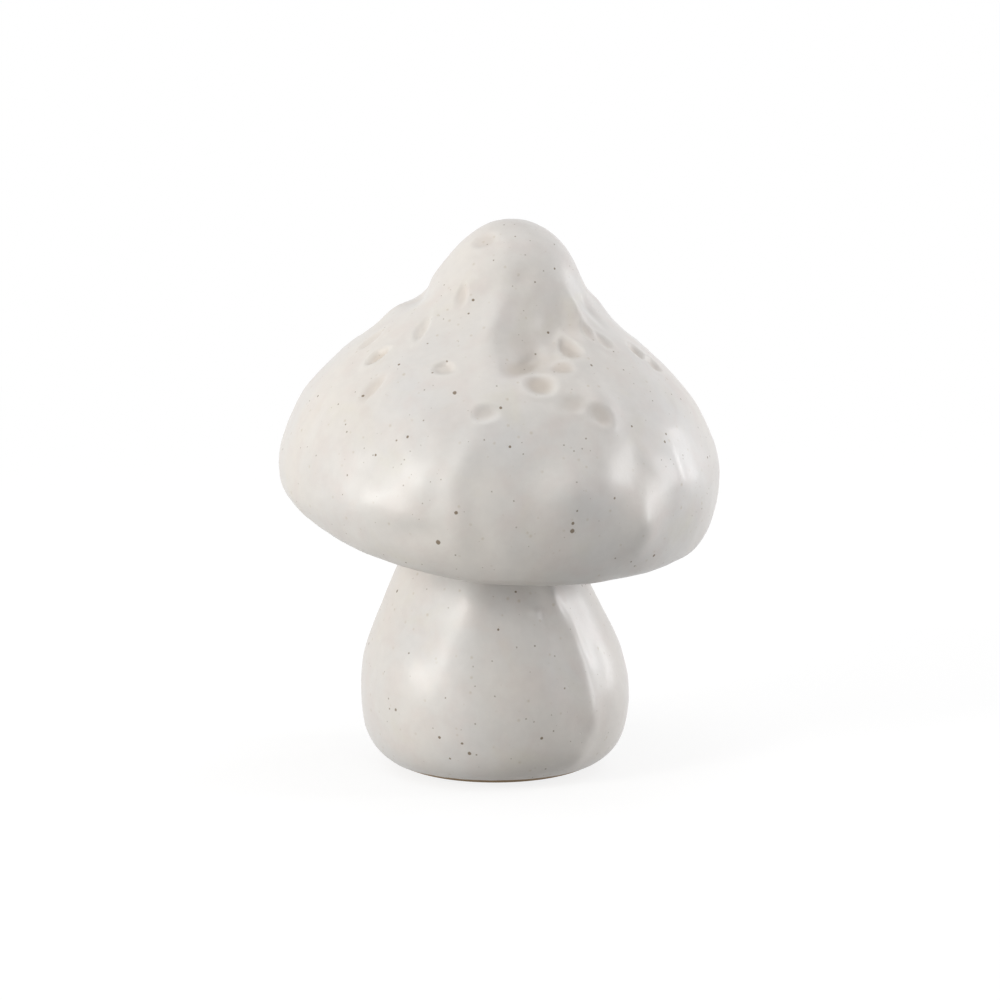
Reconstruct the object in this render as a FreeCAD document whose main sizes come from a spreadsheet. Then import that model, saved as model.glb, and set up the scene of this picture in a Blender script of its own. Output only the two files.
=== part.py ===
import FreeCAD, Part
import math
import os

import Sketcher

# Ceramic mushroom ornament, about 14 cm tall, in millimetres with +Z up.
# The cap and the stem are two hollow slip castings. The stem's neck stands in
# a hole in the cap's flat seat, a ring of slip bonds the two, and three felt
# pads under the bare clay foot keep it from scratching a shelf. The cap's tip
# leans to +X and the front, where the deepest finger presses are, faces -Y.
# The origin is on the surface the pads stand on, under the middle of the cap.

V = FreeCAD.Vector
doc = FreeCAD.newDocument("mushroom_ornament")

# Sizes of the whole ornament, each written once.
SIZES = [
    ("cap_radius", 55.0),        # widest part of the turned cap
    ("cap_top", 137.6),          # tip of the cap above the foot
    ("seat_share", 0.436),       # flat seat under the cap, as a share of cap_top
    ("seat_radius", 22.0),
    ("rim_lift", 6.0),           # how far the cap's low edge rises to the left
    ("rim_fade", 22.0),          # height over which that rise fades out
    ("rim_start", 80.0),         # no rise above this height
    ("tip_lean", 4.35),          # sideways lean of the tip
    ("tip_lean_start", 104.0),
    ("tip_lean_run", 32.0),
    ("tip_sway", 0.64),          # the slope's small lean the other way
    ("tip_sway_run", 20.0),
    ("stem_radius", 34.3),
    ("foot_shift", -0.48),       # foot's axis beside the origin
    ("neck_lean", 1.55),         # how far the stem leans to the left
    ("neck_lean_start", 15.0),
    ("neck_lean_run", 38.0),
    ("cap_wall", 4.5),
    ("stem_wall", 4.8),
    ("neck_radius", 16.4),
    ("neck_bore", 12.0),
    ("neck_rise", 6.5),          # neck above the seat
    ("sleeve_gap", 0.5),         # slip between the neck and the cap's hole
    ("slip_bed", 1.0),           # slip between the shoulder and the seat
    ("bed_width", 2.3),          # slip bed beyond the cap's hole, without its bead
    ("vent_radius", 4.0),
    ("recess_radius", 12.5),     # shallow hollow inside the foot ring
    ("recess_depth", 1.4),
    ("pad_radius", 3.6),
    ("pad_height", 1.0),
    ("pad_circle", 17.2),
    ("swell_size", 20.0),        # unit of the broad swells and hollows
    ("swell_depth", 2.0),
    ("dent_size", 4.0),          # unit of the finger and tool presses
    ("dent_depth", 1.6),
    ("overrun", 2.0),            # how far every cut runs past its piece
]

sheet = doc.addObject("Spreadsheet::Sheet", "Sizes")
for row, (alias, value) in enumerate(SIZES, start=1):
    sheet.set("A%d" % row, alias)
    sheet.set("B%d" % row, str(value))
    sheet.setAlias("B%d" % row, alias)
doc.recompute()


def size(alias):
    return float(sheet.get(alias))


cap_radius = size("cap_radius")
cap_top = size("cap_top")
seat_height = size("seat_share") * cap_top
stem_radius = size("stem_radius")
shoulder_height = seat_height - size("slip_bed")
pad_height = size("pad_height")
swell_size = size("swell_size")
swell_depth = size("swell_depth")
dent_size = size("dent_size")
dent_depth = size("dent_depth")

# Poles of the cap's half outline from the tip to the underside: share of
# cap_radius and share of cap_top.
CAP_OUTLINE_SHARES = [
    (0.0, 1.0), (0.093, 1.0), (0.265, 0.958), (0.365, 0.866), (0.545, 0.807),
    (0.702, 0.760), (0.853, 0.701), (0.947, 0.637), (1.015, 0.555),
    (0.998, 0.477), (0.887, 0.408), (0.675, 0.408),
]

# The last two poles lie level in the seat: shares of seat_radius.
SEAT_POLE_SHARES = [1.227, 1.0]

# Poles of the stem's half outline from the foot to the shoulder: share of
# stem_radius and share of shoulder_height.
STEM_OUTLINE_SHARES = [
    (0.466, 0.0), (0.650, 0.0), (0.695, 0.0), (0.845, 0.046), (0.962, 0.134),
    (1.0, 0.322), (0.948, 0.497), (0.819, 0.668), (0.694, 0.825),
    (0.600, 0.931), (0.560, 1.0), (0.466, 1.0),
]

# Broad swells and hollows of the cap, left by hands on the soft clay.
# Azimuth in degrees, share of the outline from the tip, then half width and
# half length as shares of swell_size, depth as a share of swell_depth
# (inwards, so a swell is negative), and turn in degrees.
CAP_SWELL_SHARES = [
    (-76, 0.130, 0.200, 0.225, 0.45, 0),
    (-62, 0.205, 0.400, 0.450, 1.20, 8),
    (-74, 0.280, 0.400, 0.350, 1.40, -15),
    (-97, 0.250, 0.250, 0.550, -0.30, 0),
    (-39, 0.200, 0.140, 0.400, -0.80, -4),
    (180, 0.190, 0.500, 0.250, 1.30, 0),
    (168, 0.240, 0.450, 0.300, -0.45, 0),
    (14, 0.220, 0.400, 0.300, -0.50, 0),
    (-98, 0.545, 0.225, 0.500, -0.30, 23),
    (-100, 0.665, 0.250, 0.500, -0.30, -8),
    (-80, 0.580, 0.700, 0.900, 0.65, 0),
    (-78, 0.590, 0.375, 0.450, -0.70, 0),
    (-62, 0.575, 0.250, 0.900, -0.45, 0),
    (-57, 0.650, 0.300, 0.400, -0.65, 0),
    (-40, 0.620, 0.225, 0.400, 0.25, 0),
    (-30, 0.610, 0.275, 0.500, -0.25, 0),
    (-122, 0.560, 0.650, 0.750, 0.45, 0),
    (-147, 0.545, 0.250, 0.600, -0.25, 20),
    (-154, 0.530, 0.225, 0.450, 0.20, 20),
    (-114, 0.655, 0.600, 0.225, -0.25, 0),
    (-112, 0.708, 0.600, 0.225, 0.35, 0),
    (82, 0.250, 0.450, 0.550, 0.85, 0),
    (122, 0.190, 0.350, 0.500, 0.60, -10),
    (50, 0.230, 0.250, 0.450, -0.40, 0),
    (101, 0.590, 0.300, 0.950, 0.40, 0),
    (78, 0.600, 0.450, 0.600, -0.45, 0),
    (54, 0.570, 0.275, 0.850, 0.45, 0),
    (134, 0.650, 0.600, 0.250, -0.40, 0),
    (136, 0.705, 0.600, 0.250, 0.45, 0),
    (162, 0.560, 0.300, 0.750, 0.35, 0),
    (24, 0.600, 0.350, 0.700, -0.35, 0),
    (6, 0.560, 0.275, 0.750, 0.35, 0),
]

# Finger and tool presses round the foot of the tip: the same columns, as
# shares of dent_size and dent_depth.
CAP_DENT_SHARES = [
    (-80.0, 0.318, 2.000, 0.800, 1.00, -35),
    (-144.5, 0.330, 0.875, 0.450, 0.75, -50),
    (-133.0, 0.250, 0.975, 0.450, 0.44, -108),
    (-109.5, 0.341, 0.750, 0.550, 0.44, 0),
    (-133.5, 0.413, 1.050, 0.450, 0.38, -68),
    (-121.5, 0.172, 0.475, 1.050, 0.38, 8),
    (-92.8, 0.447, 0.750, 0.600, 0.44, -20),
    (-74.0, 0.381, 0.800, 0.750, 0.69, 0),
    (-54.0, 0.286, 0.650, 1.150, 0.75, 6),
    (-40.7, 0.273, 0.425, 1.250, 0.50, -12),
    (-65.5, 0.346, 0.800, 0.450, 0.44, 12),
    (-33.5, 0.300, 0.475, 0.950, 0.50, -15),
    (-16.0, 0.338, 0.650, 0.800, 0.63, 0),
    (-12.5, 0.380, 0.700, 0.700, 0.56, 0),
    (-58.0, 0.468, 0.750, 0.800, 0.75, 0),
    (-65.0, 0.434, 0.950, 0.650, 0.31, 0),
    (-115.0, 0.067, 0.900, 0.700, 0.25, 0),
    (-160.0, 0.300, 0.500, 0.950, 0.31, 0),
    (166.0, 0.352, 0.900, 0.550, 0.70, -25),
    (148.0, 0.280, 0.550, 0.950, 0.60, 10),
    (139.0, 0.405, 0.850, 0.650, 0.75, 0),
    (116.0, 0.335, 0.850, 0.550, 0.60, 15),
    (104.0, 0.420, 0.700, 0.900, 0.50, 0),
    (88.0, 0.372, 0.950, 0.750, 1.00, 0),
    (70.0, 0.300, 0.500, 1.000, 0.75, -8),
    (57.0, 0.395, 0.850, 0.700, 0.80, 10),
    (40.0, 0.325, 0.550, 0.950, 0.60, 0),
    (31.0, 0.440, 0.800, 0.700, 0.55, 0),
    (14.0, 0.350, 0.900, 0.550, 0.70, 20),
]

# Broad marks of the stem: the same columns as the cap's.
STEM_SWELL_SHARES = [
    (-118, 0.620, 0.350, 0.800, -0.40, 0),
    (-36, 0.660, 0.250, 0.800, -0.50, 0),
    (-34, 0.460, 0.200, 0.225, -0.45, 0),
    (-56, 0.500, 0.350, 0.650, 0.20, 0),
    (60, 0.600, 0.350, 0.700, 0.45, 0),
    (95, 0.560, 0.300, 0.800, -0.40, 0),
    (150, 0.620, 0.350, 0.700, 0.40, 0),
]

# Rise and fall of the cap's low edge round the azimuth, as shares of
# rim_lift: level, cosine, sine, and the same of twice the azimuth.
RIM_WAVE_SHARES = (0.273, -0.993, 0.263, 0.288, -0.183)


def ease(x):
    """Smooth step from 0 to 1."""
    x = min(max(x, 0.0), 1.0)
    return x * x * (3.0 - 2.0 * x)


def outline_of(shares, radius, height, last=()):
    """Clamped cubic outline in the plane y = 0, with x as radius."""
    curve = Part.BSplineCurve()
    curve.buildFromPoles([V(r * radius, 0, z * height) for r, z in shares] + list(last), False, 3)
    return curve


def frame_at(curve, share, azimuth, outward):
    """Point, outward normal, sideways and lengthways directions on a form."""
    flat = curve.value(share)
    slope = curve.tangent(share)[0]
    turn = FreeCAD.Rotation(V(0, 0, 1), azimuth)
    point = turn.multVec(flat)
    along = turn.multVec(slope)
    side = turn.multVec(V(0, 1, 0))
    normal = along.cross(side) * outward
    return point, normal, side, along


def marks_of(curve, table, unit, depth_unit, outward):
    """Turn a table of shares into places, directions and lengths."""
    marks = []
    for azimuth, share, width, length, depth, turn in table:
        point, normal, side, along = frame_at(curve, share, azimuth, outward)
        angle = math.radians(turn)
        first = side * math.cos(angle) + along * math.sin(angle)
        second = along * math.cos(angle) - side * math.sin(angle)
        marks.append((point, normal, first, second, width * unit, length * unit, depth * depth_unit))
    return marks


def pressed(point, marks, firmness):
    """How far the marks push a point of the turned form."""
    push = V(0, 0, 0)
    for centre, normal, first, second, width, length, depth in marks:
        away = point - centre
        reach = max(width, length)
        if away.Length > 3.0 * reach:
            continue
        spread = (away.dot(first) / width) ** 2 + (away.dot(second) / length) ** 2
        spread += (away.dot(normal) / reach) ** 2
        push -= normal * (depth * math.exp(-2.0 * spread ** firmness))
    return push


def rim_rise(point):
    """Lift of the cap's low edge at a point of the turned cap."""
    azimuth = math.atan2(point.y, point.x)
    level, cosine, sine, cosine_two, sine_two = RIM_WAVE_SHARES
    wave = level + cosine * math.cos(azimuth) + sine * math.sin(azimuth)
    wave += cosine_two * math.cos(2 * azimuth) + sine_two * math.sin(2 * azimuth)
    low = ease((size("rim_start") - point.z) / size("rim_fade"))
    radius = math.hypot(point.x, point.y)
    past_seat = ease((radius - size("seat_radius")) / (0.4 * cap_radius))
    return V(0, 0, size("rim_lift") * wave * low * past_seat)


def cap_lean(height):
    """Sideways place of the cap's axis at a height of the turned cap."""
    lean = size("tip_lean") * ease((height - size("tip_lean_start")) / size("tip_lean_run"))
    sway = size("tip_sway") * ease((height - size("rim_start")) / size("tip_sway_run"))
    return V(lean - sway, 0, pad_height)


def stem_lean(height):
    """Sideways place of the stem's axis at a height of the turned stem."""
    lean = size("neck_lean") * ease((height - size("neck_lean_start")) / size("neck_lean_run"))
    return V(size("foot_shift") - lean, 0, pad_height)


def cap_point(curve, share, azimuth, depth, swells, dents):
    """Point of the modelled cap, at a depth under the skin."""
    point, normal, side, along = frame_at(curve, share, azimuth, 1)
    hold = ease(share / 0.04) * ease((1.0 - share) / 0.12)
    push = pressed(point, swells, 1) * hold
    if dents:
        push += pressed(point, dents, 2) * hold
    return point + push + rim_rise(point) + cap_lean(point.z) - normal * depth


def stem_point(curve, share, azimuth, depth, swells, dents):
    """Point of the modelled stem, at a depth under the skin."""
    point, normal, side, along = frame_at(curve, share, azimuth, -1)
    hold = ease((share - 0.1) / 0.2) * ease((1.0 - share) / 0.12)
    return point + pressed(point, swells, 1) * hold + stem_lean(point.z) - normal * depth


def skin(place, curve, depth, swells, dents, around, down):
    """Closed-round cubic surface over a grid of modelled points."""
    rows = []
    for i in range(around):
        azimuth = 360.0 * i / around
        rows.append([place(curve, j / (down - 1.0), azimuth, depth, swells, dents) for j in range(down)])
    knots_round = [i / around for i in range(around + 1)]
    knots_down = [j / (down - 3.0) for j in range(down - 2)]
    surface = Part.BSplineSurface()
    surface.buildFromPolesMultsKnots(
        rows, [1] * (around + 1), [4] + [1] * (down - 4) + [4],
        knots_round, knots_down, True, False, 3, 3)
    return surface.toShape()


def solid_of(face):
    """Close a skin with flat discs at its open rings and make it solid."""
    seam = max(face.Edges, key=lambda edge: edge.Length if not edge.isClosed() else 0.0)
    parts = [face]
    for edge in face.Edges:
        if edge.Degenerated or not edge.isClosed() or edge.isSame(seam):
            continue
        parts.append(Part.Face(Part.Wire(edge)))
    joined = Part.makeCompound(parts)
    joined.sewShape()
    solid = Part.Solid(joined.Shells[0])
    if solid.Volume < 0:
        solid.reverse()
    return solid


def form(name, shape):
    """Document object that holds a hand-modelled form."""
    feature = doc.addObject("Part::Feature", name)
    feature.Shape = shape
    feature.Label = name
    return feature


def cylinder(name, radius, bottom, height, axis, sideways="0 mm"):
    """Cylinder whose sizes and place are expressions of the sheet."""
    feature = doc.addObject("Part::Cylinder", name)
    feature.Label = name
    feature.setExpression("Radius", radius)
    feature.setExpression("Height", height)
    feature.setExpression("Placement.Base.x", axis)
    feature.setExpression("Placement.Base.y", sideways)
    feature.setExpression("Placement.Base.z", bottom)
    return feature


def cut(name, base, tool):
    feature = doc.addObject("Part::Cut", name)
    feature.Label = name
    feature.Base = base
    feature.Tool = tool
    return feature


# The cap: turned outline, hand marks, and the casting's hollow inside it.
seat_poles = [V(share * size("seat_radius"), 0, seat_height) for share in SEAT_POLE_SHARES]
cap_curve = outline_of(CAP_OUTLINE_SHARES, cap_radius, cap_top, seat_poles)
cap_swells = marks_of(cap_curve, CAP_SWELL_SHARES, swell_size, swell_depth, 1)
cap_dents = marks_of(cap_curve, CAP_DENT_SHARES, dent_size, dent_depth, 1)
cap_outer = form("cap_outside", solid_of(skin(cap_point, cap_curve, 0, cap_swells, cap_dents, 144, 84)))
cap_inner = form("cap_hollow", solid_of(skin(cap_point, cap_curve, size("cap_wall"), cap_swells, None, 64, 36)))

NECK_AXIS = "Sizes.foot_shift - Sizes.neck_lean"
SEAT_PLANE = "Sizes.pad_height + Sizes.seat_share * Sizes.cap_top"
seat_hole = cylinder(
    "seat_hole", "Sizes.neck_radius + Sizes.sleeve_gap",
    SEAT_PLANE + " - Sizes.overrun", "Sizes.cap_wall + 2 * Sizes.overrun", NECK_AXIS)
cap_cast = cut("cap_cast", cap_outer, cap_inner)
cap_shell = cut("cap_shell", cap_cast, seat_hole)

# The stem: the same making, with a neck on its shoulder and a bare foot.
stem_curve = outline_of(STEM_OUTLINE_SHARES, stem_radius, shoulder_height)
stem_swells = marks_of(stem_curve, STEM_SWELL_SHARES, swell_size, swell_depth, -1)
stem_outer = form("stem_outside", solid_of(skin(stem_point, stem_curve, 0, stem_swells, None, 96, 48)))
stem_inner = form("stem_hollow", solid_of(skin(stem_point, stem_curve, size("stem_wall"), stem_swells, None, 48, 32)))
neck = cylinder(
    "neck", "Sizes.neck_radius", SEAT_PLANE + " - Sizes.slip_bed - Sizes.overrun",
    "Sizes.slip_bed + Sizes.neck_rise + Sizes.overrun", NECK_AXIS)
neck_bore = cylinder(
    "neck_bore", "Sizes.neck_bore", SEAT_PLANE + " - Sizes.slip_bed - Sizes.stem_wall - Sizes.overrun",
    "Sizes.stem_wall + Sizes.slip_bed + Sizes.neck_rise + 2 * Sizes.overrun", NECK_AXIS)
vent = cylinder(
    "vent", "Sizes.vent_radius", "Sizes.pad_height - Sizes.overrun",
    "Sizes.stem_wall + 2 * Sizes.overrun", "Sizes.foot_shift")
recess = cylinder(
    "foot_recess", "Sizes.recess_radius", "Sizes.pad_height - Sizes.overrun",
    "Sizes.recess_depth + Sizes.overrun", "Sizes.foot_shift")
stem_solid = doc.addObject("Part::MultiFuse", "stem_solid")
stem_solid.Shapes = [stem_outer, neck]
stem_space = doc.addObject("Part::MultiFuse", "stem_space")
stem_space.Shapes = [stem_inner, neck_bore, vent, recess]
stem_shell = cut("stem_shell", stem_solid, stem_space)

# The ring of slip: a sleeve round the neck, a bed on the shoulder, and a
# half-round bead where it squeezed out and was wiped.
luting_slip = doc.addObject("PartDesign::Body", "luting_slip")
luting_slip.Label = "luting_slip"
ring = luting_slip.newObject("Sketcher::SketchObject", "slip_section")
upright = [plane for plane in luting_slip.Origin.OriginFeatures if plane.Role == "XZ_Plane"][0]
ring.AttachmentSupport = [(upright, "")]
ring.MapMode = "FlatFace"
inner_r = size("neck_radius")
hole_r = inner_r + size("sleeve_gap")
bed_r = hole_r + size("bed_width")
low_z = pad_height + shoulder_height
seat_z = pad_height + seat_height
top_z = seat_z + size("cap_wall")
bead_r = (seat_z - low_z) / 2
ring.addGeometry([
    Part.LineSegment(V(inner_r, low_z, 0), V(bed_r, low_z, 0)),
    Part.ArcOfCircle(Part.Circle(V(bed_r, low_z + bead_r, 0), V(0, 0, 1), bead_r), -math.pi / 2, math.pi / 2),
    Part.LineSegment(V(bed_r, seat_z, 0), V(hole_r, seat_z, 0)),
    Part.LineSegment(V(hole_r, seat_z, 0), V(hole_r, top_z, 0)),
    Part.LineSegment(V(hole_r, top_z, 0), V(inner_r, top_z, 0)),
    Part.LineSegment(V(inner_r, top_z, 0), V(inner_r, low_z, 0)),
], False)
ring.addConstraint([
    Sketcher.Constraint("Coincident", 0, 2, 1, 1),
    Sketcher.Constraint("Coincident", 1, 2, 2, 1),
    Sketcher.Constraint("Coincident", 2, 2, 3, 1),
    Sketcher.Constraint("Coincident", 3, 2, 4, 1),
    Sketcher.Constraint("Coincident", 4, 2, 5, 1),
    Sketcher.Constraint("Coincident", 5, 2, 0, 1),
    Sketcher.Constraint("Horizontal", 0),
    Sketcher.Constraint("Horizontal", 2),
    Sketcher.Constraint("Horizontal", 4),
    Sketcher.Constraint("Vertical", 3),
    Sketcher.Constraint("Vertical", 5),
    Sketcher.Constraint("Vertical", 1, 1, 1, 2),
    Sketcher.Constraint("Vertical", 1, 1, 1, 3),
])


def slip_length(kind, line, end, length, rule):
    """Hold one corner of the slip's section at a length of the sheet."""
    index = ring.addConstraint(Sketcher.Constraint(kind, -1, 1, line, end, length))
    ring.setExpression("Constraints[%d]" % index, rule)


slip_length("DistanceX", 0, 1, inner_r, "Sizes.neck_radius")
slip_length("DistanceY", 0, 1, low_z, SEAT_PLANE + " - Sizes.slip_bed")
slip_length("DistanceX", 0, 2, bed_r, "Sizes.neck_radius + Sizes.sleeve_gap + Sizes.bed_width")
slip_length("DistanceY", 2, 2, seat_z, SEAT_PLANE)
slip_length("DistanceX", 2, 2, hole_r, "Sizes.neck_radius + Sizes.sleeve_gap")
slip_length("DistanceY", 3, 2, top_z, SEAT_PLANE + " + Sizes.cap_wall")
turned_ring = luting_slip.newObject("PartDesign::Revolution", "turned_ring")
turned_ring.Profile = ring
turned_ring.ReferenceAxis = (ring, ["V_Axis"])
turned_ring.Angle = 360
luting_slip.setExpression("Placement.Base.x", NECK_AXIS)

# Three felt pads on the foot ring, one to the back.
pads = []
for number, angle in enumerate((90, 210, 330), start=1):
    pads.append(cylinder(
        "foot_pad_%d" % number, "Sizes.pad_radius", "0 mm", "Sizes.pad_height",
        "Sizes.foot_shift + Sizes.pad_circle * cos(%d deg)" % angle,
        "Sizes.pad_circle * sin(%d deg)" % angle))

doc.recompute()

for item in doc.Objects:
    if "Invalid" in item.State or "Error" in item.State:
        raise RuntimeError("%s did not recompute: %s" % (item.Name, item.State))

os.makedirs("parts", exist_ok=True)
whole = FreeCAD.BoundBox()
for piece in [cap_shell, stem_shell, luting_slip] + pads:
    shape = piece.Shape
    if shape.isNull() or not shape.isValid() or len(shape.Solids) != 1 or shape.Volume <= 0:
        raise RuntimeError("%s has no sound solid" % piece.Label)
    shape.exportStep("parts/%s.step" % piece.Label)
    whole.add(shape.BoundBox)
    print("%-12s %9.0f mm3  faces %d" % (piece.Label, shape.Volume, len(shape.Faces)))
print("box x %.2f..%.2f  y %.2f..%.2f  z %.2f..%.2f" % (
    whole.XMin, whole.XMax, whole.YMin, whole.YMax, whole.ZMin, whole.ZMax))
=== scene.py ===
import logging
import math
from collections.abc import Sequence
from dataclasses import dataclass, field
from enum import Enum

import bmesh
import bpy
import numpy as np
from mathutils import Matrix, Vector, noise


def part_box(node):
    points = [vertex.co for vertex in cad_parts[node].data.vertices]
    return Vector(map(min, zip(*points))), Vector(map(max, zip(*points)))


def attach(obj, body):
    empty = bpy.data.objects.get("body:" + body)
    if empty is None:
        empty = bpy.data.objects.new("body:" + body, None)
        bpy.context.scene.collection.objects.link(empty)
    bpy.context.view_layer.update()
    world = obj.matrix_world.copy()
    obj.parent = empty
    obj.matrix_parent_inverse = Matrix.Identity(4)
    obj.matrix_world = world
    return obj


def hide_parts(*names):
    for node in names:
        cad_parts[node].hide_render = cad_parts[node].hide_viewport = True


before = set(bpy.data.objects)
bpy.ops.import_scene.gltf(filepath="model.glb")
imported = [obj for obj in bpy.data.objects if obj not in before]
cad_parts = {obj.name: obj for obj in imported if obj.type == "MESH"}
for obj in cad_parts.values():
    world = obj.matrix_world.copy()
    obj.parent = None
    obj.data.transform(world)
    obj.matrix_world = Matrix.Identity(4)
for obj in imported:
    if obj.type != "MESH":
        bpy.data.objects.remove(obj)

# A ceramic mushroom ornament: a hollow cap and a hollow stem, slip cast in
# speckled stoneware clay, marked by hand while soft, bonded with slip and
# dipped in a satin off-white glaze that leaves the foot ring bare. Sizes are
# written in millimetres and turned to metres as the meshes are made. +Z is up,
# the front looks to -Y, and the cap's tip leans to +X.

Tree = bpy.types.NodeTree
Socket = bpy.types.NodeSocket
# Values that the points of a profile or a mesh carry, by name.
Values = dict[str, np.ndarray]
# Moved points or movements, how much glaze pools at each, with painted shade, how far each is on a
# lip, which takes a painted highlight.
Moved = tuple[np.ndarray, np.ndarray, np.ndarray]
# Centre in metres and radius in millimetres of each fleck with its own place.
Places = list[tuple[Vector, float]]

log = logging.getLogger("mushroom_ornament")
MM = 0.001
# A spin is made with a quarter of its faces, and its rings are then cut in four.
RING_PARTS = 4
# Points nearer to each other than this are one point, in metres.
WELD = 2e-6
# A point nearer to the Z axis than this lies on it, in metres.
ON_AXIS = 1e-7
# How a mark is shaped, in its own half sizes: how far it reaches, and the
# place and width of the lip of clay that a fingertip pushes up.
MARK_REACH = 3.0
LIP_PLACE = 1.2
LIP_WIDTH = 0.3
# Height of a lip on which the glaze is thinnest and its painted highlight strongest, in
# millimetres.
BREAK_HEIGHT = 0.3
# A fleck's edge, in its own radii.
FLECK_CORE = 0.7
FLECK_EDGE = 1.15
# Sockets of a Mix node set to colours: factor, two colours and the result.
FACTOR, UNDER, OVER, MIXED = 0, 6, 7, 2
WHITE = (1.0, 1.0, 1.0, 1.0)
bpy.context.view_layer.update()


def colour(code: str) -> tuple[float, float, float, float]:
    """Turn an sRGB hex code into the linear colour a shader takes.

    Args:
        code: Six hex digits after a hash, as a paint chart would give them.

    Returns:
        Red, green, blue and an alpha of 1, linear.
    """
    parts = [int(code[i:i + 2], 16) / 255.0 for i in (1, 3, 5)]
    linear = [c / 12.92 if c <= 0.04045 else ((c + 0.055) / 1.055) ** 2.4 for c in parts]
    return (linear[0], linear[1], linear[2], 1.0)


def ease(x: np.ndarray | float) -> np.ndarray | float:
    """Smooth step from 0 to 1, for a number or an array."""
    x = np.clip(x, 0.0, 1.0)
    return x * x * (3.0 - 2.0 * x)


class Firmness(Enum):
    """How sharply a mark's edge drops: by a palm, or by a fingertip or tool."""

    PALM = 1
    TOOL = 2


@dataclass(frozen=True)
class Mark:
    """A place where hands or a tool moved the soft clay.

    Azimuth and turn are in degrees, share is the place along the outline, and
    the half width, half length, depth and lip are in millimetres. A depth
    below 0 is a swell. Taper narrows the mark towards one end, slant deepens
    it towards one end, and tint is how much the glaze pools and warms in it
    and how much painted shade darkens it.
    """

    azimuth: float
    share: float
    width: float
    length: float
    depth: float
    turn: float = 0.0
    taper: float = 0.0
    slant: float = 0.0
    lip: float = 0.0
    tint: float = 0.0


# Broad swells and hollows of the cap. The tints of the two deep hollows of the front are painted
# shade.
CAP_SWELLS = (
    Mark(-76, 0.135, 4.0, 4.5, 0.5),
    Mark(-58, 0.240, 8.5, 10.0, 3.3, tint=0.3),
    Mark(-75, 0.290, 8.5, 9.5, 3.6, tint=0.5),
    Mark(-94, 0.080, 3.0, 3.4, -0.4, 25),
    Mark(-93, 0.215, 5.0, 12.0, -1.1, 6),
    Mark(-41, 0.205, 3.3, 8.5, -1.9, -4),
    Mark(-23, 0.215, 3.0, 8.0, 0.7, -6),
    Mark(180, 0.190, 10.0, 5.0, 2.6),
    Mark(168, 0.240, 9.0, 6.0, -0.9),
    Mark(14, 0.220, 8.0, 6.0, -1.0),
    Mark(-98, 0.545, 4.5, 10.0, -0.6, 23),
    Mark(-100, 0.665, 5.0, 10.0, -0.6, -8),
    Mark(-80, 0.565, 14.0, 18.0, 1.1),
    Mark(-71, 0.615, 9.0, 9.0, -1.9),
    Mark(-62, 0.560, 5.5, 16.0, -0.5),
    Mark(-50, 0.580, 8.0, 12.0, 0.6),
    Mark(-55, 0.440, 6.0, 9.5, -1.5),
    Mark(-51, 0.690, 8.5, 8.5, -2.1),
    Mark(2, 0.590, 14.0, 16.0, -0.4),
    Mark(-36, 0.612, 5.0, 12.0, -0.5),
    Mark(-126, 0.545, 14.0, 15.0, 0.5),
    Mark(-147, 0.545, 5.0, 12.0, -0.5, 20),
    Mark(-154, 0.530, 4.5, 9.0, 0.4, 20),
    Mark(-172, 0.672, 30.0, 9.0, 1.1),
    Mark(-112, 0.665, 7.0, 4.0, -0.3),
    Mark(-112, 0.708, 12.0, 4.5, 0.6),
    Mark(82, 0.250, 9.0, 11.0, 1.7),
    Mark(122, 0.190, 7.0, 10.0, 1.2, -10),
    Mark(50, 0.230, 5.0, 9.0, -0.8),
    Mark(101, 0.590, 6.0, 19.0, 0.8),
    Mark(78, 0.600, 9.0, 12.0, -0.9),
    Mark(54, 0.570, 5.5, 17.0, 0.9),
    Mark(134, 0.650, 12.0, 7.0, -0.5),
    Mark(136, 0.705, 12.0, 7.0, 0.5),
    Mark(162, 0.560, 6.0, 15.0, 0.7),
    Mark(24, 0.600, 7.0, 14.0, -0.7),
    Mark(6, 0.560, 5.5, 15.0, 0.7),
)
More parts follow.
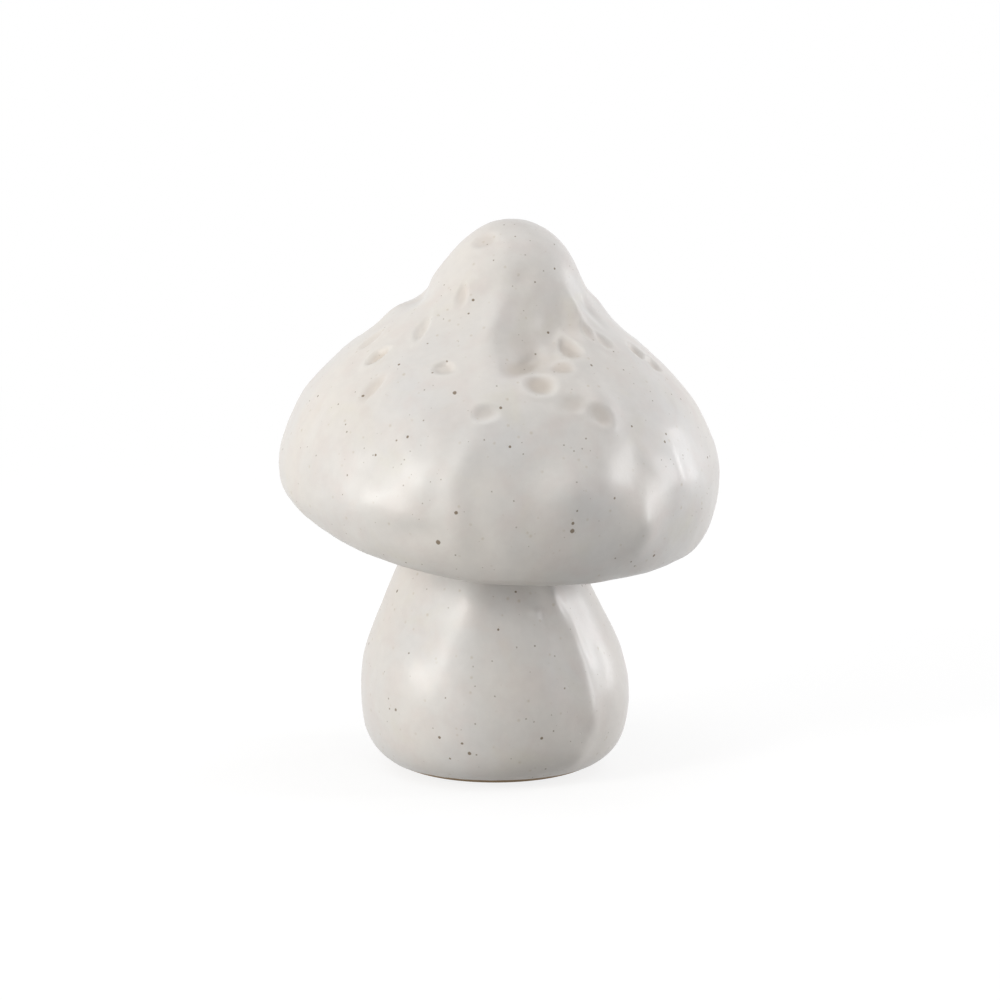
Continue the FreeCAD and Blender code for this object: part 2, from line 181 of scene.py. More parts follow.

# Presses of a fingertip or a wooden tool round the foot of the tip. Their tints are warmer pooled
# glaze that also carries painted shade.
CAP_DENTS = (
    # This press lies in the lower corner of the front hollow, and its tint is painted shade.
    Mark(-78.0, 0.315, 7.5, 3.6, 0.9, -36, tint=0.9),
    Mark(-144.5, 0.330, 3.4, 2.0, 1.2, -68, 0.2, 0.2, 0.20, 1.0),
    Mark(-133.0, 0.250, 3.9, 1.8, 0.7, -108, 0.3, 0.2, 0.10, 0.4),
    Mark(-109.5, 0.341, 3.0, 2.2, 0.7, 0, 0.3, -0.4, 0.10, 0.5),
    Mark(-134.0, 0.407, 4.6, 2.0, 0.7, -75, 0.2, 0.2, 0.08, 0.6),
    Mark(-121.0, 0.172, 1.6, 3.8, 0.45, -20, 0.2, 0.2, 0.05, 0.4),
    Mark(-92.8, 0.447, 3.2, 2.4, 0.55, -20, 0.2, 0.3, 0.10, 0.4),
    Mark(-74.0, 0.381, 3.8, 3.4, 0.65, 0, 0.0, 0.1, 0.22, 1.2),
    Mark(-54.0, 0.284, 2.6, 4.8, 0.9, 6, 0.5, 0.2, 0.20, 0.9),
    Mark(-39.5, 0.262, 1.5, 3.6, 0.5, -12, 0.2, 0.2, 0.10, 0.4),
    Mark(-63.0, 0.340, 3.2, 2.4, 0.5, 12, 0.0, 0.0, 0.05, 0.9),
    Mark(-33.5, 0.288, 1.9, 3.4, 0.6, -15, 0.2, 0.2, 0.10, 0.4),
    Mark(-16.0, 0.338, 2.6, 3.2, 1.0, 0, 0.0, 0.3, 0.15, 0.7),
    Mark(-12.5, 0.380, 2.8, 2.8, 0.9, 0, 0.0, 0.2, 0.15, 0.4),
    Mark(-58.0, 0.466, 2.4, 3.5, 0.8, -35, 0.1, 0.3, 0.08, 0.5),
    Mark(-65.0, 0.434, 3.8, 2.6, 0.35, 0, 0.0, 0.0, 0.05, 0.4),
    Mark(-128.0, 0.070, 3.4, 2.6, 0.6, -20, 0.0, 0.0, 0.10, 0.4),
    Mark(-160.0, 0.300, 2.0, 3.8, 0.5, 0, 0.0, 0.2, 0.10, 0.4),
    Mark(166.0, 0.352, 3.6, 2.2, 1.1, -25, 0.2, 0.3, 0.15, 0.7),
    Mark(148.0, 0.280, 2.2, 3.8, 1.0, 10, 0.3, 0.2, 0.10, 0.5),
    Mark(139.0, 0.405, 3.4, 2.6, 1.2, 0, 0.2, 0.4, 0.15, 0.7),
    Mark(116.0, 0.335, 3.4, 2.2, 1.0, 15, 0.0, 0.2, 0.10, 0.5),
    Mark(104.0, 0.420, 2.8, 3.6, 0.8, 0, 0.2, 0.2, 0.10, 0.5),
    Mark(88.0, 0.372, 3.8, 3.0, 1.6, 0, 0.3, 0.3, 0.25, 0.9),
    Mark(70.0, 0.300, 2.0, 4.0, 1.2, -8, 0.4, 0.2, 0.15, 0.7),
    Mark(57.0, 0.395, 3.4, 2.8, 1.3, 10, 0.0, 0.4, 0.15, 0.8),
    Mark(40.0, 0.325, 2.2, 3.8, 1.0, 0, 0.3, 0.2, 0.10, 0.5),
    Mark(31.0, 0.440, 3.2, 2.8, 0.9, 0, 0.0, 0.3, 0.10, 0.6),
    Mark(14.0, 0.350, 3.6, 2.2, 1.1, 20, 0.2, 0.3, 0.15, 0.6),
)

# Broad marks of the stem.
STEM_SWELLS = (
    Mark(-98, 0.765, 8.0, 12.0, -1.1),
    Mark(-64, 0.715, 1.5, 3.0, -0.45, 60),
    Mark(-61, 0.700, 1.4, 2.4, 0.45, 20),
    Mark(-46, 0.610, 5.0, 14.0, -1.0),
    Mark(-53, 0.770, 4.5, 8.0, -1.6, 8),
    Mark(-45, 0.430, 4.5, 8.0, -0.8),
    Mark(-50, 0.320, 6.0, 6.0, -0.7),
    Mark(-56, 0.500, 7.0, 13.0, 0.4),
    Mark(60, 0.600, 7.0, 14.0, 0.9),
    Mark(95, 0.560, 6.0, 16.0, -0.8),
    Mark(150, 0.620, 7.0, 14.0, 0.8),
)


@dataclass(frozen=True)
class Fleck:
    """An iron fleck that shows through the glaze.

    Azimuth in degrees, share of the outline, and radius in millimetres.
    """

    azimuth: float
    share: float
    radius: float


# The largest flecks of the front, which have a place of their own.
CAP_FLECKS = (
    Fleck(-105, 0.716, 0.62), Fleck(-71, 0.686, 0.58), Fleck(-71, 0.672, 0.42),
    Fleck(-103, 0.402, 0.55), Fleck(-100, 0.651, 0.45), Fleck(-44, 0.756, 0.42),
    Fleck(-88, 0.435, 0.40), Fleck(-129, 0.343, 0.36), Fleck(-136, 0.428, 0.36),
    Fleck(-36, 0.528, 0.36), Fleck(-38, 0.543, 0.36), Fleck(-115, 0.508, 0.36),
    Fleck(-159, 0.456, 0.32), Fleck(-86, 0.521, 0.36), Fleck(-59, 0.230, 0.38),
    Fleck(-111, 0.179, 0.40), Fleck(-124, 0.552, 0.32), Fleck(-110, 0.206, 0.30),
    Fleck(-47, 0.126, 0.30), Fleck(-48, 0.498, 0.30),
)
STEM_FLECKS = (
    Fleck(-101, 0.347, 0.50), Fleck(-70, 0.389, 0.40), Fleck(-114, 0.389, 0.38),
    Fleck(-104, 0.377, 0.34), Fleck(-86, 0.675, 0.30), Fleck(-110, 0.323, 0.30),
    Fleck(-74, 0.782, 0.30),
)


@dataclass(frozen=True)
class Site:
    """A mark's place on a turned form, in millimetres."""

    centre: np.ndarray
    normal: np.ndarray
    first: np.ndarray
    second: np.ndarray
    mark: Mark


def clay_outline(poles: Sequence[tuple[float, float]], per_span: int) -> np.ndarray:
    """Sample the smooth outline of a turned form.

    Args:
        poles: Radius and height of each control point, in millimetres.
        per_span: Samples between two control points.

    Returns:
        Radius and height of each sample, one row each, in millimetres.
    """
    curve = bpy.data.curves.new("outline", "CURVE")
    curve.dimensions = "3D"
    curve.resolution_u = per_span
    spline = curve.splines.new("NURBS")
    spline.points.add(len(poles) - 1)
    for point, (radius, height) in zip(spline.points, poles):
        point.co = (radius, 0.0, height, 1.0)
    spline.order_u = 4
    spline.use_endpoint_u = True
    holder = bpy.data.objects.new("outline", curve)
    mesh = bpy.data.meshes.new_from_object(holder)
    samples = np.array([(v.co.x, v.co.z) for v in mesh.vertices])
    bpy.data.objects.remove(holder)
    bpy.data.meshes.remove(mesh)
    bpy.data.curves.remove(curve)
    return samples


def outline_normals(outline: np.ndarray, outward: float) -> np.ndarray:
    """Find the normals of an outline, in its own plane.

    Args:
        outline: Samples of the outline.
        outward: 1 where the outline runs down the outside, -1 where it runs up.

    Returns:
        The unit normal at each sample, pointing away from the clay.
    """
    slope = np.gradient(outline, axis=0)
    slope /= np.linalg.norm(slope, axis=1, keepdims=True)
    return np.column_stack((-slope[:, 1], slope[:, 0])) * outward


def site_on(outline: np.ndarray, mark: Mark, outward: float) -> Site:
    """Find where a mark lies on a turned form.

    Args:
        outline: Samples of the form's outline.
        mark: The mark to place.
        outward: 1 where the outline runs down the outside, -1 where it runs up.

    Returns:
        The mark's centre and its own three directions.
    """
    place = mark.share * (len(outline) - 1)
    row = min(int(place), len(outline) - 2)
    radius, height = outline[row] + (outline[row + 1] - outline[row]) * (place - row)
    step = outline[row + 1] - outline[row]
    step = step / np.linalg.norm(step)
    angle = math.radians(mark.azimuth)
    out = np.array([math.cos(angle), math.sin(angle), 0.0])
    side = np.array([-math.sin(angle), math.cos(angle), 0.0])
    up = np.array([0.0, 0.0, 1.0])
    along = out * step[0] + up * step[1]
    normal = np.cross(along, side) * outward
    turn = math.radians(mark.turn)
    first = side * math.cos(turn) + along * math.sin(turn)
    second = along * math.cos(turn) - side * math.sin(turn)
    return Site(out * radius + up * height, normal, first, second, mark)


def press(points: np.ndarray, sites: Sequence[Site], firmness: Firmness) -> Moved:
    """Work out how a set of marks moves the points of a turned form.

    Args:
        points: Points of the turned form, in millimetres.
        sites: The marks' places.
        firmness: How sharply the marks' edges drop.

    Returns:
        The movement of each point, how far each is inside a tinted mark,
        where pooled glaze and painted shade go, and how far each is on a
        raised lip, where a painted highlight goes.
    """
    push = np.zeros_like(points)
    pool_and_shade = np.zeros(len(points))
    raised = np.zeros(len(points))
    for site in sites:
        mark = site.mark
        reach = max(mark.width, mark.length)
        away = points - site.centre
        near = np.linalg.norm(away, axis=1) < MARK_REACH * reach
        away = away[near]
        v = away @ site.second / mark.length
        u = away @ site.first / (mark.width * np.clip(1.0 + mark.taper * v, 0.4, 1.6))
        spread = u ** 2 + v ** 2 + (away @ site.normal / reach) ** 2
        fall = np.exp(-2.0 * spread ** firmness.value)
        slope = np.clip(1.0 + mark.slant * v, 0.2, 1.8)
        lip = np.exp(-((np.sqrt(spread) - LIP_PLACE) / LIP_WIDTH) ** 2)
        move = mark.lip * lip - mark.depth * fall * slope
        push[near] += move[:, None] * site.normal
        # A tinted mark takes pooled glaze and painted shade.
        pool_and_shade[near] = np.maximum(pool_and_shade[near], fall * mark.tint)
        # A raised lip takes a paler glaze break and a painted highlight.
        raised[near] = np.maximum(raised[near], lip * mark.lip / BREAK_HEIGHT)
    return push, pool_and_shade, raised


def unevenness(points: np.ndarray, rises: Sequence[tuple[float, float]]) -> np.ndarray:
    """Small rise and fall of clay smoothed by hand.

    Args:
        points: Places, in millimetres.
        rises: For each size of rise, the distance between one and the next
            and the height of the largest, in millimetres.

    Returns:
        The rise at each point.
    """
    total = np.zeros(len(points))
    for number, (grain, height) in enumerate(rises):
        # Each size is read 50 mm further on, so that no two look alike.
        scaled = (points + 50.0 * number) / grain
        total += np.array([noise.noise(Vector(p)) for p in scaled]) * height
    return total


def spun(profile: np.ndarray, layers: Values, steps: int) -> bmesh.types.BMesh:
    """Turn a profile once round the Z axis.

    Args:
        profile: Radius and height of each point, in metres.
        layers: Values that each point carries round with it.
        steps: Number of faces round the form.

    Returns:
        A closed form with its faces pointing out of the clay.
    """
    bm = bmesh.new()
    rows = bm.verts.layers.int.new("row")
    stores = {name: bm.verts.layers.float.new(name) for name in (*layers, "reach")}
    layers = {**layers, "reach": profile[:, 0]}
    last = None
    for row, (radius, height) in enumerate(profile):
        vert = bm.verts.new((radius, 0.0, height))
        vert[rows] = row
        for name, values in layers.items():
            vert[stores[name]] = float(values[row])
        if last is not None:
            bm.edges.new((last, vert))
        last = vert
    bmesh.ops.spin(
        bm, geom=bm.verts[:] + bm.edges[:], cent=(0.0, 0.0, 0.0), axis=(0.0, 0.0, 1.0),
        angle=math.tau, steps=steps // RING_PARTS, use_merge=True, use_duplicate=False)
    bmesh.ops.remove_doubles(bm, verts=bm.verts[:], dist=WELD)
    # Cutting and rounding the rings is far quicker than a fine spin.
    rings = [edge for edge in bm.edges if edge.verts[0][rows] == edge.verts[1][rows]]
    bmesh.ops.subdivide_edges(bm, edges=rings, cuts=RING_PARTS - 1, use_grid_fill=True)
    for vert in bm.verts:
        radius = math.hypot(vert.co.x, vert.co.y)
        if radius > ON_AXIS:
            vert.co.xy *= vert[stores["reach"]] / radius
    bmesh.ops.recalc_face_normals(bm, faces=bm.faces[:])
    return bm


def as_object(bm: bmesh.types.BMesh, name: str) -> bpy.types.Object:
    """Make a smooth-shaded object of a bmesh and link it to the scene.

    Args:
        bm: The bmesh, which is freed.
        name: The object's name.

    Returns:
        The object.
    """
    mesh = bpy.data.meshes.new(name)
    bm.to_mesh(mesh)
    bm.free()
    mesh.shade_smooth()
    piece = bpy.data.objects.new(name, mesh)
    bpy.context.scene.collection.objects.link(piece)
    return piece


def points_of(mesh: bpy.types.Mesh) -> np.ndarray:
    """Read the points of a mesh.

    Args:
        mesh: The mesh, in metres.

    Returns:
        Its points, one row each, in millimetres.
    """
    flat = np.empty(len(mesh.vertices) * 3, dtype=np.float32)
    mesh.vertices.foreach_get("co", flat)
    return flat.reshape(-1, 3).astype(float) / MM


def move_points(mesh: bpy.types.Mesh, points: np.ndarray) -> None:
    """Give a mesh new places for its points, in millimetres."""
    mesh.vertices.foreach_set("co", (points * MM).astype(np.float32).ravel())
    mesh.update()


def values_of(mesh: bpy.types.Mesh, name: str) -> np.ndarray:
    """Read the values that the points of a mesh carry.

    Args:
        mesh: The mesh.
        name: The values' name.

    Returns:
        One value for each point.
    """
    flat = np.empty(len(mesh.vertices), dtype=np.float32)
    mesh.attributes[name].data.foreach_get("value", flat)
    return flat.astype(float)


def keep_values(mesh: bpy.types.Mesh, name: str, values: np.ndarray) -> None:
    """Store a value for each point of a mesh under a name."""
    store = mesh.attributes.get(name) or mesh.attributes.new(name, "FLOAT", "POINT")
    store.data.foreach_set("value", values.astype(np.float32))


def add(tree: Tree, kind: str, inputs: dict[int | str, object] | None = None,
        **settings: object) -> bpy.types.Node:
    """Add a node with its settings and links.

    Args:
        tree: The node tree that takes the node.
        kind: The node's type name.
        inputs: For each input, by name or number, a value or the output
            socket that feeds it.
        settings: The node's own options.

    Returns:
        The new node.
    """
    new = tree.nodes.new(kind)
    for name, value in settings.items():
        setattr(new, name, value)
    for key, value in (inputs or {}).items():
        if isinstance(value, Socket):
            tree.links.new(value, new.inputs[key])
        else:
            new.inputs[key].default_value = value
    return new


def blank_material(name: str) -> bpy.types.Material:
    """Make a material with an empty node tree.

    Args:
        name: The material's name.

    Returns:
        The material.
    """
    material = bpy.data.materials.new(name)
    material.use_nodes = True
    material.node_tree.nodes.clear()
    return material


@dataclass(frozen=True)
class Patches:
    """Patches of another tone in the glaze.

    Width is a patch's size in millimetres. As the noise rises from low to
    high, the tone's share rises from none to the largest.
    """

    tone: str
    width: float
    low: float
    high: float
    largest: float
    detail: float
    roughness: float = 0.5
    distortion: float = 0.0

    def over(self, tree: Tree, place: Socket, under: Socket | tuple[float, ...]) -> Socket:
        """Lay the patches over a tone.

        Args:
            tree: The material's node tree.
            place: Coordinates in metres.
            under: The tone that they lie over.

        Returns:
            The new tone.
        """
        cloud = add(tree, "ShaderNodeTexNoise", {
            "Vector": place, "Scale": 1.0 / (self.width * MM), "Detail": self.detail,
            "Roughness": self.roughness, "Distortion": self.distortion})
        amount = add(tree, "ShaderNodeMapRange", {
            "Value": cloud.outputs["Fac"], "From Min": self.low, "From Max": self.high,
            "To Max": self.largest})
        mixed = add(tree, "ShaderNodeMix", {
            FACTOR: amount.outputs["Result"], UNDER: under, OVER: colour(self.tone)},
            data_type="RGBA")
        return mixed.outputs[MIXED]


@dataclass(frozen=True)
class Specks:
    """Round specks of one kind, scattered through the clay.

    Cell is the average distance between specks, radius the largest speck's
    and soft the width of a speck's edge, in millimetres. Share is how many of
    the places hold a speck.
    """

    cell: float
    radius: float
    share: float
    soft: float

    def scattered(self, tree: Tree, place: Socket) -> Socket:
        """Scatter the specks.

        Args:
            tree: The material's node tree.
            place: Coordinates in metres.

        Returns:
            A socket that is 1 inside a speck and 0 outside.
        """
        cells = add(tree, "ShaderNodeTexVoronoi", {
            "Vector": place, "Scale": 1.0 / (self.cell * MM)})
        chance = add(tree, "ShaderNodeSeparateColor", {"Color": cells.outputs["Color"]})
        size = add(tree, "ShaderNodeMapRange", {
            "Value": chance.outputs["Red"], "To Min": 0.45 * self.radius / self.cell,
            "To Max": self.radius / self.cell})
        inside = add(tree, "ShaderNodeMath", {
            0: size.outputs["Result"], 1: cells.outputs["Distance"]}, operation="SUBTRACT")
        edge = add(tree, "ShaderNodeMath", {0: inside.outputs[0], 1: self.cell / self.soft},
                   operation="MULTIPLY", use_clamp=True)
        kept = add(tree, "ShaderNodeMath", {0: chance.outputs["Green"], 1: self.share},
                   operation="LESS_THAN")
        return add(tree, "ShaderNodeMath", {0: edge.outputs[0], 1: kept.outputs[0]},
                   operation="MULTIPLY").outputs[0]


@dataclass(frozen=True)
class SpeckledGlaze:
    """Satin feldspar glaze over iron-speckled stoneware, dipped and fired.

    The eye gets an off-white skin that is warm where it pools and cooler
    where it is even, darker with painted shade in the presses and in the
    front hollow, paler with a painted highlight on the presses' lips, soft
    wide highlights, brown iron flecks of 0.3 to 1.2 mm that bled up from
    the clay, and a few pinholes.
    """

    cool: str = "#dad8d6"
    # Pooled glaze, warmer and darker; the same tone is painted shade in the presses and the front
    # hollow.
    pool_and_shade_tone: str = "#c6bbaf"
    # A paler break of thin glaze on the lips, which is also a painted highlight.
    lip_break_and_highlight: str = "#e9e6e0"
    iron: str = "#6a5636"
    ghost: str = "#b9ad98"
    clay: str = "#b39a7b"
    grog: str = "#a88b69"
    ior: float = 1.5
    roughness: float = 0.40
    roughness_drift: float = 0.04
    coat: float = 0.15
    mottle_shade: float = 0.955
    # Warm clouds where the dip ran thicker, straw-coloured hints where rutile
    # settled, and rosy blushes where iron bled into the glaze.
    patches: tuple[Patches, ...] = (
        Patches("#dfdad4", 35.0, 0.35, 0.65, 1.0, 3.0, roughness=0.45),
        Patches("#dad5c6", 12.0, 0.58, 0.80, 0.35, 2.0, distortion=0.6),
        Patches("#d8cdc8", 7.0, 0.45, 0.80, 0.5, 3.0, distortion=0.3),
    )
    ghost_specks: Specks = Specks(2.8, 0.6, 0.7, 0.45)
    small_specks: Specks = Specks(2.4, 0.34, 0.6, 0.2)
    large_specks: Specks = Specks(6.0, 0.5, 0.4, 0.2)
    pinholes: Specks = Specks(3.0, 0.22, 0.5, 0.12)

    def seen_flecks(self, tree: Tree, place: Socket, flecks: Places) -> Socket:
        """Put a fleck at each given place.

        Args:
            tree: The material's node tree.
            place: Coordinates in metres.
            flecks: The flecks that have a place of their own.

        Returns:
            A socket that is 1 inside a fleck and 0 outside.
        """
        total = None
        for centre, radius in flecks:
            gap = add(tree, "ShaderNodeVectorMath", {0: place, 1: centre}, operation="DISTANCE")
            spot = add(tree, "ShaderNodeMapRange", {
                "Value": gap.outputs["Value"], "From Min": radius * FLECK_CORE * MM,
                "From Max": radius * FLECK_EDGE * MM, "To Min": 1.0, "To Max": 0.0},
                interpolation_type="SMOOTHSTEP")
            if total is None:
                total = spot.outputs["Result"]
            else:
                total = add(tree, "ShaderNodeMath", {0: total, 1: spot.outputs["Result"]},
                            operation="MAXIMUM").outputs[0]
        return total

    def tone(self, tree: Tree, place: Socket, ragged: Socket, mottle: Socket,
             flecks: Places) -> Socket:
        """Colour the glaze: patches, mottle, pools with painted shade, thin lips
        with a painted highlight, and specks.

        Args:
            tree: The material's node tree.
            place: Coordinates in metres.
            ragged: The same, wandering a little, which gives ragged specks.
            mottle: Fine noise of the glaze itself.
            flecks: The flecks that have a place of their own.

        Returns:
            The colour.
        """
        tone = colour(self.cool)
        for patches in self.patches:
            tone = patches.over(tree, place, tone)
        shade = add(tree, "ShaderNodeMapRange", {
            "Value": mottle, "From Min": 0.3, "From Max": 0.7,
            "To Min": self.mottle_shade, "To Max": 1.0})
        tone = add(tree, "ShaderNodeMix", {
            FACTOR: 1.0, UNDER: tone, OVER: shade.outputs["Result"]},
            data_type="RGBA", blend_type="MULTIPLY").outputs[MIXED]
        pool_and_shade = add(tree, "ShaderNodeAttribute", attribute_name="pool_and_shade").outputs["Fac"]
        raised = add(tree, "ShaderNodeAttribute", attribute_name="raised").outputs["Fac"]
        ghosts = self.ghost_specks.scattered(tree, ragged)
        small = self.small_specks.scattered(tree, ragged)
        large = self.large_specks.scattered(tree, ragged)
        if flecks:
            seen = self.seen_flecks(tree, ragged, flecks)
            large = add(tree, "ShaderNodeMath", {0: large, 1: seen},
                        operation="MAXIMUM").outputs[0]
        # Thicker, warmer glaze in the presses, which is also painted shade and in
        # the front hollow only painted shade, and a paler break on their lips, which
        # is also a painted highlight, then the specks, from the faintest to the strongest.
        for where, share, code in (
                (pool_and_shade, 0.7, self.pool_and_shade_tone), (raised, 0.35, self.lip_break_and_highlight), (ghosts, 0.45, self.ghost),
                (small, 0.75, self.iron), (large, 0.85, self.iron)):
            amount = add(tree, "ShaderNodeMath", {0: where, 1: share}, operation="MULTIPLY")
            tone = add(tree, "ShaderNodeMix", {
                FACTOR: amount.outputs[0], UNDER: tone, OVER: colour(code)},
                data_type="RGBA").outputs[MIXED]
        return tone

    def bare_clay(self, tree: Tree, place: Socket) -> bpy.types.Node:
        """Make matt, buff clay with a fine grog of 0.6 mm.

        Args:
            tree: The material's node tree.
            place: Coordinates in metres.

        Returns:
            The clay's shader.
        """
        grog = add(tree, "ShaderNodeTexNoise", {
            "Vector": place, "Scale": 1.0 / (0.6 * MM), "Detail": 4.0})
        buff = add(tree, "ShaderNodeMix", {
            FACTOR: grog.outputs["Fac"], UNDER: colour(self.grog), OVER: colour(self.clay)},
            data_type="RGBA")
        tooth = add(tree, "ShaderNodeBump", {
            "Height": grog.outputs["Fac"], "Strength": 0.6, "Distance": 0.08 * MM})
        return add(tree, "ShaderNodeBsdfPrincipled", {
            "Base Color": buff.outputs[MIXED], "Roughness": 0.85, "IOR": 1.45,
            "Normal": tooth.outputs["Normal"]})

    def material(self, name: str, flecks: Places) -> bpy.types.Material:
        """Make the glaze and the bare clay that shows where it was wiped off.

        Args:
            name: The material's name.
            flecks: The flecks that have a place of their own.

        Returns:
            The finished material.
        """
        material = blank_material(name)
        tree = material.node_tree
        place = add(tree, "ShaderNodeTexCoord").outputs["Object"]
        # Ragged edges for the specks: the place wanders by 0.12 mm.
        wander = add(tree, "ShaderNodeTexNoise", {
            "Vector": place, "Scale": 1.0 / (0.5 * MM), "Detail": 1.0})
        drift = add(tree, "ShaderNodeVectorMath", {
            0: wander.outputs["Color"], 1: [0.24 * MM] * 3, 2: [-0.12 * MM] * 3},
            operation="MULTIPLY_ADD")
        ragged = add(tree, "ShaderNodeVectorMath", {0: place, 1: drift.outputs[0]},
                     operation="ADD").outputs[0]
        # Fine mottle of 2.5 mm in the glaze itself.
        mottle = add(tree, "ShaderNodeTexNoise", {
            "Vector": place, "Scale": 1.0 / (2.5 * MM), "Detail": 5.0,
            "Roughness": 0.6}).outputs["Fac"]

        # The skin: a soft orange peel of 1.4 mm, slow waves of 6 mm, pinholes.
        peel = add(tree, "ShaderNodeTexNoise", {
            "Vector": place, "Scale": 1.0 / (1.4 * MM), "Detail": 2.0})
        waves = add(tree, "ShaderNodeTexNoise", {
            "Vector": place, "Scale": 1.0 / (6 * MM), "Detail": 1.0})
        holes = self.pinholes.scattered(tree, ragged)
        relief = add(tree, "ShaderNodeMath", {
            0: waves.outputs["Fac"], 1: 5.0, 2: peel.outputs["Fac"]}, operation="MULTIPLY_ADD")
        relief = add(tree, "ShaderNodeMath", {0: holes, 1: -4.0, 2: relief.outputs[0]},
                     operation="MULTIPLY_ADD")
        skin = add(tree, "ShaderNodeBump", {
            "Height": relief.outputs[0], "Strength": 0.5, "Distance": 0.03 * MM})
        satin = add(tree, "ShaderNodeMapRange", {
            "Value": mottle, "From Min": 0.3, "From Max": 0.7,
            "To Min": self.roughness - self.roughness_drift,
            "To Max": self.roughness + self.roughness_drift})
        glaze = add(tree, "ShaderNodeBsdfPrincipled", {
            "Base Color": self.tone(tree, place, ragged, mottle, flecks),
            "Roughness": satin.outputs["Result"], "IOR": self.ior, "Coat Weight": self.coat,
            "Coat Roughness": 0.2, "Normal": skin.outputs["Normal"]})

        # The wiped line wavers with the slow waves.
        bare = add(tree, "ShaderNodeAttribute", attribute_name="bare").outputs["Fac"]
        line = add(tree, "ShaderNodeMath", {0: waves.outputs["Fac"], 1: 0.5, 2: bare},
                   operation="MULTIPLY_ADD")
        wiped = add(tree, "ShaderNodeMapRange", {
            "Value": line.outputs[0], "From Min": 0.68, "From Max": 0.82})
        surface = add(tree, "ShaderNodeMixShader", {
            0: wiped.outputs["Result"], 1: glaze.outputs[0],
            2: self.bare_clay(tree, place).outputs[0]})
        add(tree, "ShaderNodeOutputMaterial", {"Surface": surface.outputs[0]})
        return material


@dataclass(frozen=True)
class LutingSlip:
    """Buff stoneware slip, squeezed out of the joint and wiped with a sponge.

    The eye gets matt clay, a little sandy, between the two glazed castings.
    """

    pale: str = "#c9bba6"
    buff: str = "#b7a081"
    roughness: float = 0.8

    def material(self, name: str) -> bpy.types.Material:
        """Make the slip's material.

        Args:
            name: The material's name.

        Returns:
            The finished material.
        """
        material = blank_material(name)
        tree = material.node_tree
        place = add(tree, "ShaderNodeTexCoord").outputs["Object"]
        # Smears of the sponge 4 mm wide, and sand of 0.5 mm.
        smear = add(tree, "ShaderNodeTexNoise", {
            "Vector": place, "Scale": 1.0 / (4 * MM), "Detail": 4.0})
        tone = add(tree, "ShaderNodeMix", {
            FACTOR: smear.outputs["Fac"], UNDER: colour(self.buff), OVER: colour(self.pale)},
            data_type="RGBA")
        sand = add(tree, "ShaderNodeTexNoise", {
            "Vector": place, "Scale": 1.0 / (0.5 * MM), "Detail": 3.0})
        tooth = add(tree, "ShaderNodeBump", {
            "Height": sand.outputs["Fac"], "Strength": 0.5, "Distance": 0.06 * MM})
        clay = add(tree, "ShaderNodeBsdfPrincipled", {
            "Base Color": tone.outputs[MIXED], "Roughness": self.roughness, "IOR": 1.45,
            "Normal": tooth.outputs["Normal"]})
        add(tree, "ShaderNodeOutputMaterial", {"Surface": clay.outputs[0]})
        return material


@dataclass(frozen=True)
class WoolFelt:
    """Pressed wool felt, cut into self-adhesive discs.

    The eye gets a matt, slightly fuzzy cream cloth with short crossed fibres.
    """

    pale: str = "#cfc6b6"
    dark: str = "#b3a893"
    sheen: float = 0.3

    def material(self, name: str) -> bpy.types.Material:
        """Make the felt's material.

        Args:
            name: The material's name.

        Returns:
            The finished material.
        """
        material = blank_material(name)
        tree = material.node_tree
        place = add(tree, "ShaderNodeTexCoord").outputs["Object"]
        # Fibres about 0.1 mm thick, drawn at 0.25 mm so that they show.
        fibres = add(tree, "ShaderNodeTexNoise", {
            "Vector": place, "Scale": 1.0 / (0.25 * MM), "Detail": 5.0, "Distortion": 2.5})
        tone = add(tree, "ShaderNodeMix", {
            FACTOR: fibres.outputs["Fac"], UNDER: colour(self.dark), OVER: colour(self.pale)},
            data_type="RGBA")
        nap = add(tree, "ShaderNodeBump", {
            "Height": fibres.outputs["Fac"], "Strength": 0.8, "Distance": 0.12 * MM})
        cloth = add(tree, "ShaderNodeBsdfPrincipled", {
            "Base Color": tone.outputs[MIXED], "Roughness": 0.95, "Sheen Weight": self.sheen,
            "Sheen Roughness": 0.5, "Normal": nap.outputs["Normal"]})
        add(tree, "ShaderNodeOutputMaterial", {"Surface": cloth.outputs[0]})
        return material


